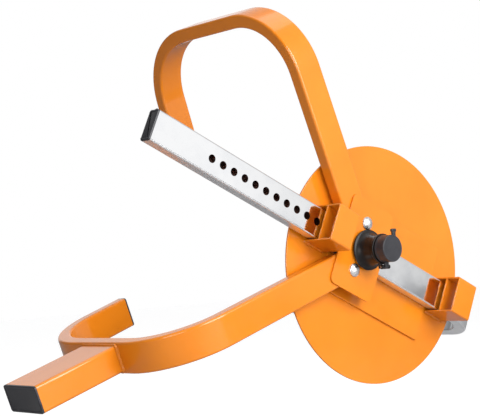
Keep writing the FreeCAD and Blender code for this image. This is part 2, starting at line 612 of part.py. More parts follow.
def makeBoot():
    """The rubber boot: a cup-shaped foot, a waist and a ring under the dust cap."""
    foot = taper("boot_foot", "bootFoot", "bootFlare", "bootFootTall", "lockAlong", PLATE_TOP)
    lip = rod("boot_lip", "bootFlare", "bootLip", "lockAlong", "0", PLATE_TOP + " + bootFootTall")
    flare = taper("boot_flare", "bootFlare", "bootWaist", "bootFlareTall - bootFootTall - bootLip", "lockAlong",
                  PLATE_TOP + " + bootFootTall + bootLip")
    neckTall = "bootTop - bootFlareTall - baseThick - armThick - plateThick"
    neck = taper("boot_neck", "bootWaist", "bootNeck", neckTall, "lockAlong", PLATE_TOP + " + bootFlareTall")
    ring = rod("boot_ring", "bootRing", "bootRingTall", "lockAlong", "0", "bootTop - bootRingTall")
    bore = rod("boot_bore", "bootBore", "bootTop", "lockAlong", "0", PLATE_TOP + " - cutOver")
    room = rod("boot_room", "housingFoot + bootGap", "footThick + bootGap + cutOver", "lockAlong", "0",
               PLATE_TOP + " - cutOver")
    shell = cut("boot_cut", join("boot_whole", [foot, lip, flare, neck, ring]), [bore, room])
    cheeks = []
    width = "hingeHalf - knuckleHalf - knuckleGap"
    for number, begin in enumerate(("0 - hingeHalf", "knuckleHalf + knuckleGap")):
        cheeks.append(hingeBlock("boot_cheek_%d" % number, "bootRing - cheekRoot", begin,
                                 "hingeHeight - cheekDrop", "hingeOut - bootRing + cheekRoot + knuckleRadius",
                                 width, "cheekDrop - cheekGap"))
        cheeks.append(hingeRod("boot_eye_%d" % number, "knuckleRadius", begin, width))
    bore = hingeRod("boot_pin_hole", "hingeRadius", "0 - hingeHalf - cutOver", "2 * hingeHalf + 2 * cutOver")
    finish(cut("boot_drilled", join("boot_hinged", [shell] + cheeks), [bore]), "lock_boot")


# The cap's hinge lies straight below the lock, so its pieces are drawn on the
# lock's axis and turned to point down when the clamp stands up.
hingeTurn = FreeCAD.Rotation(Vector(0, 0, 1), 90 + dim["tubeRise"])


def towardHinge(outward, sideways, up):
    spun = hingeTurn.multVec(Vector(outward, sideways, 0))
    return Vector(dim["lockAlong"] + spun.x, spun.y, up)


def hingeBlock(name, outward, sideways, up, length, width, height):
    piece = doc.addObject("Part::Box", name)
    bind(piece, Length=length, Width=width, Height=height)
    corner = towardHinge(sizeOf(outward), sizeOf(sideways), sizeOf(up))
    piece.Placement = FreeCAD.Placement(corner, hingeTurn)
    return piece


def hingeRod(name, radius, begin, length):
    piece = doc.addObject("Part::Cylinder", name)
    bind(piece, Radius=radius, Height=length)
    start = towardHinge(dim["hingeOut"], sizeOf(begin), dim["hingeHeight"])
    aim = FreeCAD.Rotation(Vector(0, 0, 1), hingeTurn.multVec(Vector(0, 1, 0)))
    piece.Placement = FreeCAD.Placement(start, aim)
    return piece


def sizeOf(formula):
    """Read a sum of aliases and numbers from the sheet's own values."""
    total = 0
    sign = 1
    for word in formula.split():
        if word in ("+", "-"):
            sign = 1 if word == "+" else -1
        else:
            total += sign * (dim[word] if word in dim else float(word))
    return total


def makeDustCap():
    skirt = rod("dust_skirt", "dustRadius", "dustTop - dustBottom", "lockAlong", "0", "dustBottom")
    hollow = rod("dust_hollow", "dustBore", "dustTop - dustFace - dustBottom + cutOver", "lockAlong", "0",
                 "dustBottom - cutOver")
    tab = hingeBlock("dust_tab", "0 - dustRadius - tabOut", "tabSide", "dustTop - tabDrop - tabThick",
                     "tabOut + tabRoot", "tabWide", "tabThick")
    tongue = hingeBlock("dust_tongue", "dustRadius - tongueRoot", "0 - knuckleHalf", "dustBottom",
                        "hingeOut - dustRadius + tongueRoot", "2 * knuckleHalf", "tongueThick")
    knuckle = hingeRod("dust_knuckle", "knuckleRadius", "0 - knuckleHalf", "2 * knuckleHalf")
    bore = hingeRod("dust_pin_hole", "hingeRadius + hingePlay", "0 - hingeHalf - cutOver",
                    "2 * hingeHalf + 2 * cutOver")
    cap = cut("dust_cap_cut", join("dust_whole", [skirt, tab, tongue, knuckle]), [hollow, bore])
    finish(cap, "dust_cap")
    pin = hingeRod("hinge_pin_rod", "hingeRadius", "0 - hingeHalf", "2 * hingeHalf")
    finish(pin, "cap_hinge_pin", pin.Placement)


# --- build ---------------------------------------------------------------------------

makeDisc()
makeBasePlate()
makeLockPlate()
makeGuard("near", dim["nearGuardStart"])
makeGuard("far", -dim["farGuardStart"])
makeArm("upper", -1)
makeArm("lower", 1)
makeStub()
makeSlide()
makeBolts()
makeHousing()
makeStopScrew()
makePlunger()
makePin()
makeCore()
makeSpring()
makeBoot()
makeDustCap()
doc.recompute()

for thing in doc.Objects:
    if "Invalid" in thing.State or "Error" in thing.State:
        raise RuntimeError(thing.Name + " failed: " + str(thing.State))
for piece in finished:
    if piece.Shape.isNull() or not piece.Shape.isValid():
        raise RuntimeError(piece.Label + " has no valid shape")

os.makedirs("parts", exist_ok=True)
for piece in finished:
    piece.Shape.exportStep("parts/" + piece.Label + ".step")
    print("%-18s solids %d  volume %.1f cm3" % (piece.Label, len(piece.Shape.Solids),
                                                 piece.Shape.Volume / 1000))
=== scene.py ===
import json
import math
import random
import bmesh
import bpy
from mathutils import Matrix, Vector


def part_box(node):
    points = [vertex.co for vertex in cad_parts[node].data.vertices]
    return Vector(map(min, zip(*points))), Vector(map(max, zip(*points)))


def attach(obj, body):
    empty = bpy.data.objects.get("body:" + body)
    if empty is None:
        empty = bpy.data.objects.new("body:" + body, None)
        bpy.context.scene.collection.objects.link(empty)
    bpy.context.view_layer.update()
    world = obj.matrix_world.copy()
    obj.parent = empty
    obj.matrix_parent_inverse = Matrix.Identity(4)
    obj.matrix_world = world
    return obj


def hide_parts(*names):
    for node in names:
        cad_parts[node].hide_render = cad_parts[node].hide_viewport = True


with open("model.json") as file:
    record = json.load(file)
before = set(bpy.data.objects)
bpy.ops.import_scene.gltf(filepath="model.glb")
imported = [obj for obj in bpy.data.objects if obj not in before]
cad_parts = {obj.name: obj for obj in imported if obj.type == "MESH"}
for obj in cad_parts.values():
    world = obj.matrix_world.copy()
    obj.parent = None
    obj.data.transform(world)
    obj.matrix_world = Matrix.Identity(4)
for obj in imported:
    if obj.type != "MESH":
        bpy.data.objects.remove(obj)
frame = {"nodes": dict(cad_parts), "record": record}
bpy.context.view_layer.update()
nodes = frame["nodes"]
print("frame loaded:", len(nodes), "nodes")

# The clamp leans over by this much: its own axes run along the sliding tube (out to the
# free end), across it (to the lower claw) and out of the front of the disc.
tubeRise = math.radians(26)
along = Vector((-math.cos(tubeRise), 0, math.sin(tubeRise)))
across = Vector((-math.sin(tubeRise), 0, -math.cos(tubeRise)))
outward = Vector((0, -1, 0))
clampTurn = Matrix((along, across, outward)).transposed().to_4x4()


# --- material helpers

def newMaterial(name):
    material = bpy.data.materials.new(name)
    material.use_nodes = True
    tree = material.node_tree
    return material, tree, tree.nodes["Principled BSDF"]


def addNode(tree, kind, **settings):
    node = tree.nodes.new("ShaderNode" + kind)
    for key, value in settings.items():
        setattr(node, key, value)
    return node


def objectCoords(tree, turned=False, stretch=(1, 1, 1)):
    coords = addNode(tree, "TexCoord")
    mapping = addNode(tree, "Mapping", vector_type="POINT")
    if turned:   # X then runs back along the sliding tube
        mapping.inputs["Rotation"].default_value = (0, -tubeRise, 0)
    mapping.inputs["Scale"].default_value = stretch
    tree.links.new(coords.outputs["Object"], mapping.inputs["Vector"])
    return mapping.outputs["Vector"]


def noise(tree, place, scale, detail=3.0, roughness=0.5):
    node = addNode(tree, "TexNoise")
    node.inputs["Scale"].default_value = scale
    node.inputs["Detail"].default_value = detail
    node.inputs["Roughness"].default_value = roughness
    tree.links.new(place, node.inputs["Vector"])
    return node.outputs["Fac"]


def ramp(tree, value, stops, interpolation="LINEAR"):
    node = addNode(tree, "ValToRGB")
    node.color_ramp.interpolation = interpolation
    while len(node.color_ramp.elements) < len(stops):
        node.color_ramp.elements.new(0.5)
    for element, (position, colour) in zip(node.color_ramp.elements, stops):
        element.position = position
        element.color = (*colour, 1)
    tree.links.new(value, node.inputs["Fac"])
    return node.outputs["Color"]


def spread(tree, value, low, high, fromLow=0.3, fromHigh=0.7):
    node = addNode(tree, "MapRange")
    node.inputs["From Min"].default_value = fromLow
    node.inputs["From Max"].default_value = fromHigh
    node.inputs["To Min"].default_value = low
    node.inputs["To Max"].default_value = high
    tree.links.new(value, node.inputs["Value"])
    return node.outputs["Result"]


def bump(tree, height, strength, distance, below=None):
    node = addNode(tree, "Bump")
    node.inputs["Strength"].default_value = strength
    node.inputs["Distance"].default_value = distance
    tree.links.new(height, node.inputs["Height"])
    if below:
        tree.links.new(below, node.inputs["Normal"])
    return node.outputs["Normal"]


# --- finishes

paint = {"deep": (0.60, 0.168, 0.006), "bright": (0.66, 0.194, 0.009), "cloudScale": 9,
         "roughness": 0.12, "uneven": 0.07, "unevenScale": 60, "coat": 0.15, "coatRoughness": 0.04,
         "waveScale": 16, "waveStrength": 0.35, "waveDepth": 0.0009,
         "peelScale": 330, "peelStrength": 0.5, "peelDepth": 0.00012,
         "nibScale": 900, "nibStrength": 0.35, "nibDepth": 0.00015}


def powderCoat():
    material, tree, shader = newMaterial("orangePowderCoat")
    place = objectCoords(tree)
    clouds = noise(tree, place, paint["cloudScale"], 4)
    tone = ramp(tree, clouds, [(0.3, paint["deep"]), (0.7, paint["bright"])])
    tree.links.new(tone, shader.inputs["Base Color"])
    uneven = noise(tree, place, paint["unevenScale"], 5)
    tree.links.new(spread(tree, uneven, paint["roughness"], paint["roughness"] + paint["uneven"]),
                   shader.inputs["Roughness"])
    waves = bump(tree, noise(tree, place, paint["waveScale"], 1), paint["waveStrength"], paint["waveDepth"])
    peel = bump(tree, noise(tree, place, paint["peelScale"], 2), paint["peelStrength"], paint["peelDepth"],
                waves)
    nibs = ramp(tree, noise(tree, place, paint["nibScale"], 1),
                [(0.0, (0, 0, 0)), (0.79, (0, 0, 0)), (0.83, (1, 1, 1))])
    speck = bump(tree, nibs, paint["nibStrength"], paint["nibDepth"], peel)
    tree.links.new(speck, shader.inputs["Normal"])
    shader.inputs["Coat Weight"].default_value = paint["coat"]
    shader.inputs["Coat Roughness"].default_value = paint["coatRoughness"]
    return material


# places here are in the clamp's own axes; the bore is half a tube's inside, from its middle
chrome = {"bright": (0.95, 0.955, 0.965), "dull": (0.87, 0.88, 0.90), "smudgeScale": 24,
          "roughness": 0.04, "smudged": 0.06,
          "brushScale": 900, "brushLong": 0.05, "brushing": 0.02, "brushDepth": 0.00005,
          "rippleScale": 13, "rippleStrength": 0.2, "rippleDepth": 0.0004,
          "sideRoughness": 0.26, "sideStart": 0.0210, "sideFull": 0.0218,
          # inside: the bore's dark brown, painted shade and painted reflection of the orange paint
          "inside": (0.26, 0.13, 0.10), "insideRoughness": 0.5,
          "boreMiddle": 0.014, "boreHalf": 0.0083, "boreFrom": -0.148}


def mathNode(tree, operation, first, second=None):
    node = addNode(tree, "Math", operation=operation)
    tree.links.new(first, node.inputs[0])
    if isinstance(second, (int, float)):
        node.inputs[1].default_value = second
    elif second:
        tree.links.new(second, node.inputs[1])
    return node.outputs["Value"]


def tubeZones(tree):
    place = addNode(tree, "SeparateXYZ")   # X back along the tube, Y into the clamp, Z across
    tree.links.new(objectCoords(tree, turned=True), place.inputs["Vector"])
    sideways = mathNode(tree, "ABSOLUTE", place.outputs["Z"])
    narrow = spread(tree, sideways, 0, chrome["sideRoughness"], chrome["sideStart"], chrome["sideFull"])
    deep = mathNode(tree, "ABSOLUTE", mathNode(tree, "ADD", place.outputs["Y"], chrome["boreMiddle"]))
    between = mathNode(tree, "MULTIPLY", mathNode(tree, "LESS_THAN", deep, chrome["boreHalf"]),
                       mathNode(tree, "LESS_THAN", sideways, chrome["sideStart"]))
    straight = mathNode(tree, "LESS_THAN", place.outputs["X"], -chrome["boreFrom"])
    return narrow, mathNode(tree, "MULTIPLY", between, straight)


def chromePlate():
    material, tree, shader = newMaterial("chromePlate")
    plain = objectCoords(tree)
    smudges = noise(tree, plain, chrome["smudgeScale"], 5, 0.6)
    plating = ramp(tree, smudges, [(0.35, chrome["dull"]), (0.6, chrome["bright"])])
    # the tube's two narrow sides were polished less than its wide faces, and its straight bore
    #     # gets a dark brown of painted shade and painted orange reflection, which shows through the pin
    #     holes
    narrow, shadedBore = tubeZones(tree)
    polish = spread(tree, smudges, chrome["roughness"] + chrome["smudged"], chrome["roughness"], 0.35, 0.6)
    # painted shade and painted reflection: the bore's dark brown stands in for the shade and orange glow
    # inside the tube
    colour = addNode(tree, "Mix", data_type="RGBA")
    tree.links.new(shadedBore, colour.inputs["Factor"])
    tree.links.new(plating, colour.inputs["A"])
    colour.inputs["B"].default_value = (*chrome["inside"], 1)
    tree.links.new(colour.outputs["Result"], shader.inputs["Base Color"])
    dulled = addNode(tree, "Mix", data_type="FLOAT")
    dulled.inputs["B"].default_value = chrome["insideRoughness"]
    tree.links.new(shadedBore, dulled.inputs["Factor"])
    tree.links.new(mathNode(tree, "ADD", polish, narrow), dulled.inputs["A"])
    tree.links.new(dulled.outputs["Result"], shader.inputs["Roughness"])
    ripple = bump(tree, noise(tree, plain, chrome["rippleScale"], 1), chrome["rippleStrength"],
                  chrome["rippleDepth"])
    lengthwise = objectCoords(tree, turned=True, stretch=(chrome["brushLong"], 1, 1))
    brushed = noise(tree, lengthwise, chrome["brushScale"], 3)
    tree.links.new(bump(tree, brushed, chrome["brushing"], chrome["brushDepth"], ripple),
                   shader.inputs["Normal"])
    shader.inputs["Metallic"].default_value = 1.0
    return material


steel = {"mottleScale": 220, "uneven": 0.15, "grainStrength": 0.25, "grainDepth": 0.00008}


def platedSteel(name, tones, roughness, grain):
    material, tree, shader = newMaterial(name)
    place = objectCoords(tree)
    mottle = noise(tree, place, steel["mottleScale"], 5, 0.6)
    tree.links.new(ramp(tree, mottle, [(0.35, tones[0]), (0.65, tones[1])]), shader.inputs["Base Color"])
    tree.links.new(spread(tree, mottle, roughness, roughness + steel["uneven"]), shader.inputs["Roughness"])
    tree.links.new(bump(tree, noise(tree, place, grain, 3), steel["grainStrength"], steel["grainDepth"]),
                   shader.inputs["Normal"])
    shader.inputs["Metallic"].default_value = 1.0
    return material


moulded = {"dustScale": 35, "uneven": 0.12, "grainStrength": 0.4}


def mouldedBlack(name, tones, roughness, grain, depth, sheen):
    material, tree, shader = newMaterial(name)
    place = objectCoords(tree)
    dust = noise(tree, place, moulded["dustScale"], 6, 0.65)
    tree.links.new(ramp(tree, dust, [(0.35, tones[0]), (0.7, tones[1])]), shader.inputs["Base Color"])
    tree.links.new(spread(tree, dust, roughness, roughness + moulded["uneven"]), shader.inputs["Roughness"])
    tree.links.new(bump(tree, noise(tree, place, grain, 2), moulded["grainStrength"], depth),
                   shader.inputs["Normal"])
    shader.inputs["Specular IOR Level"].default_value = sheen
    return material


orange = powderCoat()
plate = chromePlate()
domeSteel = platedSteel("domeSteel", ((0.74, 0.74, 0.76), (0.86, 0.86, 0.88)), 0.20, 700)
zinc = platedSteel("zincSteel", ((0.46, 0.47, 0.48), (0.62, 0.63, 0.65)), 0.22, 700)
lockSteel = platedSteel("lockSteel", ((0.38, 0.39, 0.41), (0.55, 0.56, 0.58)), 0.18, 900)
brass = platedSteel("lockBrass", ((0.62, 0.42, 0.15), (0.78, 0.56, 0.24)), 0.2, 900)
capPlastic = mouldedBlack("blackPlastic", ((0.021, 0.021, 0.025), (0.034, 0.034, 0.039)),
                          0.30, 1400, 0.00005, 0.36)
bootRubber = mouldedBlack("blackRubber", ((0.006, 0.005, 0.005), (0.012, 0.010, 0.009)),
                          0.30, 800, 0.00006, 0.26)
print("finishes made")

finishes = {"orange_powder_coat": orange, "chrome_plate": plate, "zinc_steel": zinc,
            "lock_steel": lockSteel, "lock_brass": brass, "black_plastic": capPlastic,
            "black_rubber": bootRubber}
for part in frame["record"]["subparts"]:
    node = nodes[part["node"]]
    for holder in node.material_slots:
        holder.material = finishes[part["material_slot"]]
print("CAD nodes finished")


# --- softened edges on the sheet metal and plates

edgeWidths = {"hub_disc": 0.0007, "base_plate": 0.0009, "lock_plate": 0.0008, "near_guard": 0.0007,
              "far_guard": 0.0007, "near_partition": 0.0005, "far_partition": 0.0005, "stub_leg": 0.0004,
              "clamp_washers": 0.0003, "clamp_nuts": 0.0005, "lock_housing": 0.0005, "lock_plunger": 0.0004,
              "locking_pin": 0.0008, "key_core": 0.0003}


def softenEdges(node, width):
    weld = node.modifiers.new("weld", "WELD")
    weld.merge_threshold = 0.00001
    edges = node.modifiers.new("edges", "BEVEL")
    edges.width = width
    edges.segments = 3
    edges.limit_method = "ANGLE"
    edges.angle_limit = math.radians(50)
    edges.harden_normals = True
    edges.use_clamp_overlap = True


for name, width in edgeWidths.items():
    softenEdges(nodes[name], width)
print("edges softened")


# --- building pieces

sameSpot = 0.000002   # corners nearer than this are one


def finished(shape, name, material, body, turn=Matrix.Identity(4), smooth=40):
    bmesh.ops.remove_doubles(shape, verts=shape.verts[:], dist=sameSpot)
    shape.transform(turn)
    bmesh.ops.recalc_face_normals(shape, faces=shape.faces[:])
    mesh = bpy.data.meshes.new(name)
    shape.to_mesh(mesh)
    shape.free()
    for face in mesh.polygons:
        face.use_smooth = True
    mesh.set_sharp_from_angle(angle=math.radians(smooth))
    mesh.materials.append(material)
    piece = bpy.data.objects.new(name, mesh)
    bpy.context.scene.collection.objects.link(piece)
    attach(piece, body)
    return piece


def spunOutline(outline, steps=96, closed=True):
    shape = bmesh.new()   # outline: radius, height and how far that corner is rounded
    corners = [shape.verts.new((radius, 0, height)) for radius, height, ease in outline]
    count = len(corners)
    for number in range(count if closed else count - 1):
        shape.edges.new((corners[number], corners[(number + 1) % count]))
    for corner, (radius, height, ease) in zip(corners, outline):
        if ease:
            bmesh.ops.bevel(shape, geom=[corner], offset=ease, segments=4, profile=0.5,
                            affect="VERTICES", material=-1)
    bmesh.ops.spin(shape, geom=shape.verts[:] + shape.edges[:], cent=(0, 0, 0), axis=(0, 0, 1),
                   angle=2 * math.pi, steps=steps, use_merge=True)
    bmesh.ops.remove_doubles(shape, verts=shape.verts[:], dist=sameSpot)
    return shape


def addShape(whole, shape):
    spare = bpy.data.meshes.new("spare")
    shape.to_mesh(spare)
    shape.free()
    whole.from_mesh(spare)
    bpy.data.meshes.remove(spare)


def roundedBlock(shape, centre, size, ease):
    made = bmesh.ops.create_cube(shape, size=1.0)["verts"]
    bmesh.ops.scale(shape, vec=size, verts=made)
    bmesh.ops.translate(shape, vec=centre, verts=made)
    edges = list({edge for vert in made for edge in vert.link_edges})
    bmesh.ops.bevel(shape, geom=edges, offset=ease, segments=3, profile=0.5, affect="EDGES",
                    clamp_overlap=True, material=-1)


def roundedPin(shape, radius, start, end, ease, sides=32):
    made = bmesh.ops.create_cone(shape, cap_ends=True, segments=sides, radius1=radius, radius2=radius,
                                 depth=abs(end - start))["verts"]
    bmesh.ops.rotate(shape, cent=(0, 0, 0), matrix=Matrix.Rotation(math.pi / 2, 3, "Y"), verts=made)
    bmesh.ops.translate(shape, vec=((start + end) / 2, 0, 0), verts=made)
    rims = [edge for edge in {edge for vert in made for edge in vert.link_edges}
            if abs(edge.verts[0].co.x - edge.verts[1].co.x) < sameSpot]
    bmesh.ops.bevel(shape, geom=rims, offset=ease, segments=3, profile=0.5, affect="EDGES",
                    clamp_overlap=True, material=-1)
    return made


# --- the lock's boot and dust cap, drawn on the lock's axis: X sideways, Y up, Z outward

low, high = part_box("key_core")
lockCentre = (low + high) / 2
lockTurn = Matrix(((1, 0, 0, lockCentre.x), (0, 0, -1, 0), (0, 1, 0, lockCentre.z), (0, 0, 0, 1)))
hinge = {"down": 0.0255, "height": 0.062, "knuckle": 0.0031, "half": 0.008, "tongue": 0.0035, "gap": 0.0003,
         "cheekReach": 0.0085, "cheekPast": 0.0020, "cheekBelow": 0.0033, "cheekTall": 0.0052,
         "tongueAbove": 0.0026, "tongueTall": 0.0038, "tongueInto": 0.001, "ease": 0.0006, "eyeEase": 0.0005}

boot = {"foot": 0.0259, "footBottom": 0.027, "rim": 0.0293, "rimLow": 0.0308, "rimTop": 0.0322,
        "dish": 0.0268, "dishHeight": 0.0330, "waist": 0.0213, "waistHeight": 0.0382,
        "throat": 0.0202, "throatHeight": 0.0485, "ring": 0.0219, "ringBottom": 0.0578, "top": 0.061,
        "bore": 0.01722, "room": 0.0245, "roomTop": 0.0304, "swell": 0.0002, "ringDrop": 0.0018,
        "fine": 0.0003, "ease": 0.0006, "dishEase": 0.0011, "waistEase": 0.004, "throatEase": 0.006,
        "ringEase": 0.0012, "topEase": 0.0008}


def makeBoot():
    fine, ease = boot["fine"], boot["ease"]
    outline = [(boot["room"], boot["footBottom"], 0), (boot["foot"], boot["footBottom"], fine),
               (boot["rim"], boot["rimLow"], ease), (boot["rim"], boot["rimTop"], ease),
               (boot["dish"], boot["dishHeight"], boot["dishEase"]),
               (boot["waist"], boot["waistHeight"], boot["waistEase"]),
               (boot["throat"], boot["throatHeight"], boot["throatEase"]),
               (boot["throat"] + boot["swell"], boot["ringBottom"] - boot["ringDrop"], boot["ringEase"]),
               (boot["ring"], boot["ringBottom"], ease), (boot["ring"], boot["top"], boot["topEase"]),
               (boot["bore"], boot["top"], ease), (boot["bore"], boot["roomTop"], 0),
               (boot["room"], boot["roomTop"], 0)]
    shell = finished(spunOutline(outline), "boot_shell", bootRubber, "frame", lockTurn)
    cheeks = bmesh.new()
    width = hinge["half"] - hinge["tongue"] - hinge["gap"]
    for side in (-1, 1):
        middle = side * (hinge["half"] - width / 2)
        low = -hinge["down"] + hinge["cheekReach"] / 2 - hinge["cheekPast"]
        roundedBlock(cheeks, (middle, low, hinge["height"] - hinge["cheekBelow"]),
                     (width, hinge["cheekReach"], hinge["cheekTall"]), hinge["ease"])
        eye = bmesh.new()
        roundedPin(eye, hinge["knuckle"], middle - width / 2, middle + width / 2, hinge["eyeEase"])
        bmesh.ops.translate(eye, vec=(0, -hinge["down"], hinge["height"]), verts=eye.verts[:])
        addShape(cheeks, eye)
    finished(cheeks, "boot_hinge_cheeks", bootRubber, "frame", lockTurn)
    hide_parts("lock_boot")


cap = {"radius": 0.0199, "bottom": 0.0625, "top": 0.0794, "bore": 0.0184, "roof": 0.0765, "bead": 0.0016,
       "tabOut": 0.0079, "tabWide": 0.0092, "tabThick": 0.0043, "tabTop": 0.0789, "tabSide": 0.00595,
       "tabRoot": 0.003, "tabNeck": 0.0062, "tabHead": 0.0046, "tabInset": 0.001, "neckThin": 0.0006,
       "neckEase": 0.0009, "tabEase": 0.0013, "sideIn": 0.0007, "faceIn": 0.0002, "faceRadius": 0.0168,
       "faceRise": 0.0176, "faceEase": 0.0002, "riseEase": 0.0004, "edgeEase": 0.0013, "beadEase": 0.0006,
       "footEase": 0.0005, "boreEase": 0.0003, "roofEase": 0.001}


def makeDustCap():
    side = cap["radius"] - cap["sideIn"]
    face = cap["top"] - cap["faceIn"]
    outline = [(0, face, 0), (cap["faceRadius"], face, cap["faceEase"]),
               (cap["faceRise"], cap["top"], cap["riseEase"]), (side, cap["top"], cap["edgeEase"]),
               (side, cap["bottom"] + 2 * cap["bead"], cap["riseEase"]),
               (cap["radius"], cap["bottom"] + cap["bead"], cap["beadEase"]),
               (cap["radius"], cap["bottom"], cap["footEase"]), (cap["bore"], cap["bottom"], cap["boreEase"]),
               (cap["bore"], cap["roof"], cap["roofEase"]), (0, cap["roof"], 0)]
    shape = spunOutline(outline, closed=False)
    shell = finished(shape, "dust_cap_shell", capPlastic, "cap", lockTurn)
    trim = bmesh.new()
    tip = cap["radius"] + cap["tabOut"]
    middle = cap["tabTop"] - cap["tabThick"] / 2
    neck = cap["tabOut"] + cap["tabRoot"] - cap["tabInset"]
    roundedBlock(trim, (cap["tabSide"], tip - cap["tabInset"] - neck / 2, middle),
                 (cap["tabNeck"], neck, cap["tabThick"] - cap["neckThin"]), cap["neckEase"])
    roundedBlock(trim, (cap["tabSide"], tip - cap["tabHead"] / 2, middle),
                 (cap["tabWide"], cap["tabHead"], cap["tabThick"]), cap["tabEase"])
    roundedBlock(trim, (0, -(side + hinge["down"]) / 2, hinge["height"] + hinge["tongueAbove"]),
                 (2 * hinge["tongue"], hinge["down"] - side + hinge["tongueInto"], hinge["tongueTall"]),
                 hinge["ease"])
    knuckle = bmesh.new()
    roundedPin(knuckle, hinge["knuckle"], -hinge["tongue"], hinge["tongue"], hinge["eyeEase"])
    bmesh.ops.translate(knuckle, vec=(0, -hinge["down"], hinge["height"]), verts=knuckle.verts[:])
    addShape(trim, knuckle)
    finished(trim, "dust_cap_tab_and_hinge", capPlastic, "cap", lockTurn)
    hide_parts("dust_cap")


makeBoot()
makeDustCap()
print("boot and dust cap made")


# --- the two clamp bolts, from the polished dome to the thread below the nut

bolt = {"along": 0.0245, "across": 0.0365, "seat": 0.027, "head": 0.0097, "edge": 0.0015, "dome": 0.004,
        "shank": 0.00498, "tail": -0.016, "threadStart": -0.0126, "pitch": 0.0011, "groove": 0.0006,
        "domeSteps": 8, "rimEase": 0.0004, "seatEase": 0.0003, "tailEase": 0.0002, "round": 64}


def domeOutline(rim):
    ball = (bolt["head"] ** 2 + bolt["dome"] ** 2) / (2 * bolt["dome"])
    reach = math.asin(bolt["head"] / ball)
    outline = []
    for step in range(bolt["domeSteps"]):
        turned = reach * step / bolt["domeSteps"]
        outline.append((ball * math.sin(turned), rim + bolt["dome"] - ball * (1 - math.cos(turned)), 0))
    return outline


def makeBolts():
    rim = bolt["seat"] + bolt["edge"]
    root = bolt["shank"] - bolt["groove"]
    outline = domeOutline(rim)
    outline += [(bolt["head"], rim, bolt["rimEase"]), (bolt["head"], bolt["seat"], bolt["seatEase"]),
                (bolt["shank"], bolt["seat"], 0)]
    height = bolt["threadStart"]
    while height - bolt["pitch"] > bolt["tail"]:
        outline += [(bolt["shank"], height, 0), (root, height - bolt["pitch"] / 2, 0)]
        height -= bolt["pitch"]
    outline += [(bolt["shank"], height, bolt["seatEase"]), (root, bolt["tail"], bolt["tailEase"]),
                (0, bolt["tail"], 0)]
    pair = bmesh.new()
    for side in (-1, 1):
        shape = spunOutline(outline, bolt["round"], closed=False)
        bmesh.ops.translate(shape, vec=(bolt["along"], side * bolt["across"], 0), verts=shape.verts[:])
        addShape(pair, shape)
    bolts = finished(pair, "clamp_bolt_pair", domeSteel, "frame", clampTurn, 30)
    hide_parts("clamp_bolts")


makeBolts()
print("bolts made")


# --- moulded end caps with a raised rim round a sunk panel

endCap = {"thick": 0.003, "ease": 0.001, "rim": 0.0018, "slope": 0.0005, "plug": 0.008, "inside": 0.0026,
          "innerEase": 0.00035}


def capSolid(width, tall, corner, sunk):
    shape = bmesh.new()
    half = endCap["thick"] / 2
    made = bmesh.ops.create_cube(shape, size=1.0)["verts"]
    bmesh.ops.scale(shape, vec=(width, tall, endCap["thick"]), verts=made)
    bmesh.ops.translate(shape, vec=(0, 0, half), verts=made)
    uprights = [edge for edge in shape.edges if abs(edge.verts[0].co.z - edge.verts[1].co.z) > half]
    bmesh.ops.bevel(shape, geom=uprights, offset=corner, segments=6, profile=0.5, affect="EDGES",
                    material=-1)
    outer = [edge for edge in shape.edges if min(vert.co.z for vert in edge.verts) > half]
    bmesh.ops.bevel(shape, geom=outer, offset=endCap["ease"], segments=3, profile=0.5, affect="EDGES",
                    material=-1)
    shape.normal_update()
    face = max(shape.faces, key=lambda one: one.calc_center_median().z)
    bmesh.ops.inset_individual(shape, faces=[face], thickness=endCap["rim"], use_even_offset=True)
    bmesh.ops.inset_individual(shape, faces=[face], thickness=endCap["slope"], depth=-sunk,
                               use_even_offset=True)
    under = min(shape.faces, key=lambda one: one.calc_center_median().z)
    bmesh.ops.inset_individual(shape, faces=[under], thickness=endCap["inside"], use_even_offset=True)
    grown = bmesh.ops.extrude_face_region(shape, geom=[under])["geom"]
    moved = [one for one in grown if isinstance(one, bmesh.types.BMVert)]
    bmesh.ops.translate(shape, vec=(0, 0, -endCap["plug"]), verts=moved)
    if under.is_valid:
        bmesh.ops.delete(shape, geom=[under], context="FACES_ONLY")
    shape.normal_update()
    rims = [edge for edge in shape.edges if edge.is_manifold and edge.calc_face_angle() > math.radians(40)
            and min(vert.co.z for vert in edge.verts) > half]
    bmesh.ops.bevel(shape, geom=rims, offset=endCap["innerEase"], segments=2, profile=0.5, affect="EDGES",
                    clamp_overlap=True, material=-1)
    return shape


def makeEndCap(name, node, body, centre, outwardAxis, wideAxis, size):
    tallAxis = outwardAxis.cross(wideAxis)
    turn = Matrix((wideAxis, tallAxis, outwardAxis)).transposed().to_4x4()
    place = clampTurn @ Matrix.Translation(centre) @ turn
    piece = finished(capSolid(*size), name, capPlastic, body, place, 35)
    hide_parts(node)


legAngle = math.radians(44)
legAlong = Vector((math.cos(legAngle), math.sin(legAngle), 0))
legAcross = Vector((-math.sin(legAngle), math.cos(legAngle), 0))
leg = {"start": 0.3854, "end": 0.5165, "height": -0.1315, "wide": 0.038, "deep": 0.080, "corner": 0.004,
       "sunk": 0.0009}
slide = {"end": 0.411, "height": 0.014, "wide": 0.044, "thick": 0.019, "corner": 0.0025, "sunk": 0.0002}
makeEndCap("leg_end_cap", "stub_cap", "frame", legAlong * leg["end"] + Vector((0, 0, leg["height"])),
           legAlong, legAcross, (leg["wide"], leg["deep"], leg["corner"], leg["sunk"]))
makeEndCap("slide_end_cap", "slide_free_cap", "slide", Vector((slide["end"], 0, slide["height"])),
           Vector((1, 0, 0)), Vector((0, 1, 0)),
           (slide["wide"], slide["thick"], slide["corner"], slide["sunk"]))
print("end caps made")


# --- weld beads, drawn in the clamp's own axes

weld = {"radius": 0.0021, "step": 0.0021, "wander": 0.00025, "thin": 0.86, "tip": 0.45, "guardHeight": 0.0004,
        "plateAlong": 0.0643, "plateFrom": -0.0265, "plateTo": 0.0235, "plateHeight": 0.0262,
        "plateRadius": 0.0025, "legTopRadius": 0.0036}
random.seed(7)


